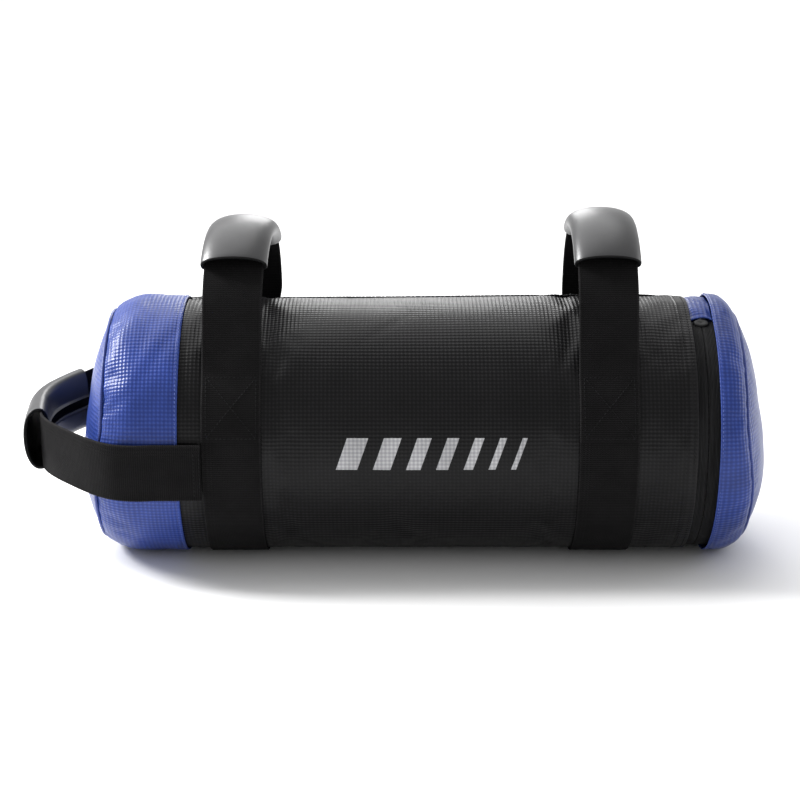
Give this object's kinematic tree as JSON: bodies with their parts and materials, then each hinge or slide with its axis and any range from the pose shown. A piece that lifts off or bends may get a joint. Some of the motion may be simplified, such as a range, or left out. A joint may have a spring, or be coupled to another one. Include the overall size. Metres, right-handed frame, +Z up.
{
  "type": "weighted training bag",
  "caption": "Padded fabric training bag filled with sand, lying on its side, with two top handles, an end handle and a zipped end cap.",
  "frame": {"origin": "on the floor, under the middle of the overall length and width", "axes": "+X along the bag towards its zipped end, +Z up through the top handles, -Y is the front"},
  "size_m": [0.62, 0.2234, 0.2886],
  "materials": {
    "black_coated_fabric": "semi-gloss coated, fine embossed grid",
    "blue_coated_fabric": "semi-gloss coated, fine embossed grid",
    "piping": "satin",
    "foam": "soft closed-cell foam",
    "sack_fabric": "plain woven",
    "sand": "loose dry grains",
    "webbing": "woven nylon webbing",
    "grip_plastic": "satin moulded",
    "zip_tape": "woven tape",
    "zip_coil": "nylon coil",
    "slider_metal": "black enamel"
  },
  "bodies": {
    "bag": {"barrel_shell": "black_coated_fabric", "barrel_seam_tape": "black_coated_fabric", "foam_liner": "foam", "weight_sack": "sack_fabric", "sand_fill": "sand", "sack_tie": "sack_fabric", "left_end_band": "blue_coated_fabric", "left_end_piping": "piping", "left_end_disc": "blue_coated_fabric", "left_end_pad": "foam", "girth_strap_left": "webbing", "girth_strap_right": "webbing", "handle_left_anchors": "webbing", "handle_right_anchors": "webbing", "end_handle_anchors": "webbing", "zip_gusset": "blue_coated_fabric", "zip_tape_barrel": "zip_tape", "zip_coil_barrel": "zip_coil"},
    "handle_left": {"handle_left_webbing": "webbing", "handle_left_grip": "grip_plastic"},
    "handle_right": {"handle_right_webbing": "webbing", "handle_right_grip": "grip_plastic"},
    "end_handle": {"end_handle_webbing": "webbing", "end_handle_grip": "grip_plastic"},
    "end_cap": {"right_end_band": "blue_coated_fabric", "right_end_piping": "piping", "right_end_disc": "blue_coated_fabric", "right_end_pad": "foam", "zip_tape_cap": "zip_tape", "zip_coil_cap": "zip_coil"},
    "zip_slider": {"zip_slider": "slider_metal"},
    "zip_pull": {"zip_pull": "slider_metal"}
  },
  "joints": [
    {"name": "handle_left_tilt", "type": "hinge", "parent": "bag", "child": "handle_left", "pos_m": [-0.125, 0, 0.17049], "axis": [0, 1, 0], "range_deg": [-35, 35], "stiffness_Nm_per_rad": 0.6},
    {"name": "handle_right_tilt", "type": "hinge", "parent": "bag", "child": "handle_right", "pos_m": [0.177, 0, 0.17049], "axis": [0, 1, 0], "range_deg": [-35, 35], "stiffness_Nm_per_rad": 0.6},
    {"name": "end_handle_tilt", "type": "hinge", "parent": "bag", "child": "end_handle", "pos_m": [-0.1735, 0, 0.1041], "axis": [0, 0.9963, 0.0854], "range_deg": [-22, 14], "stiffness_Nm_per_rad": 0.6},
    {"name": "end_cap_hinge", "type": "hinge", "parent": "bag", "child": "end_cap", "pos_m": [0.2651, 0, 0.2112], "axis": [0, -1, 0], "range_deg": [0, 100]},
    {"name": "zip_slider_travel", "type": "hinge", "parent": "bag", "child": "zip_slider", "pos_m": [0.2565, 0, 0.1041], "axis": [-1, 0, 0], "range_deg": [0, 305]},
    {"name": "zip_pull_swing", "type": "hinge", "parent": "zip_slider", "child": "zip_pull", "pos_m": [0.2565, 0.04614, 0.19975], "axis": [1, 0, 0], "range_deg": [0, 150]}
  ]
}
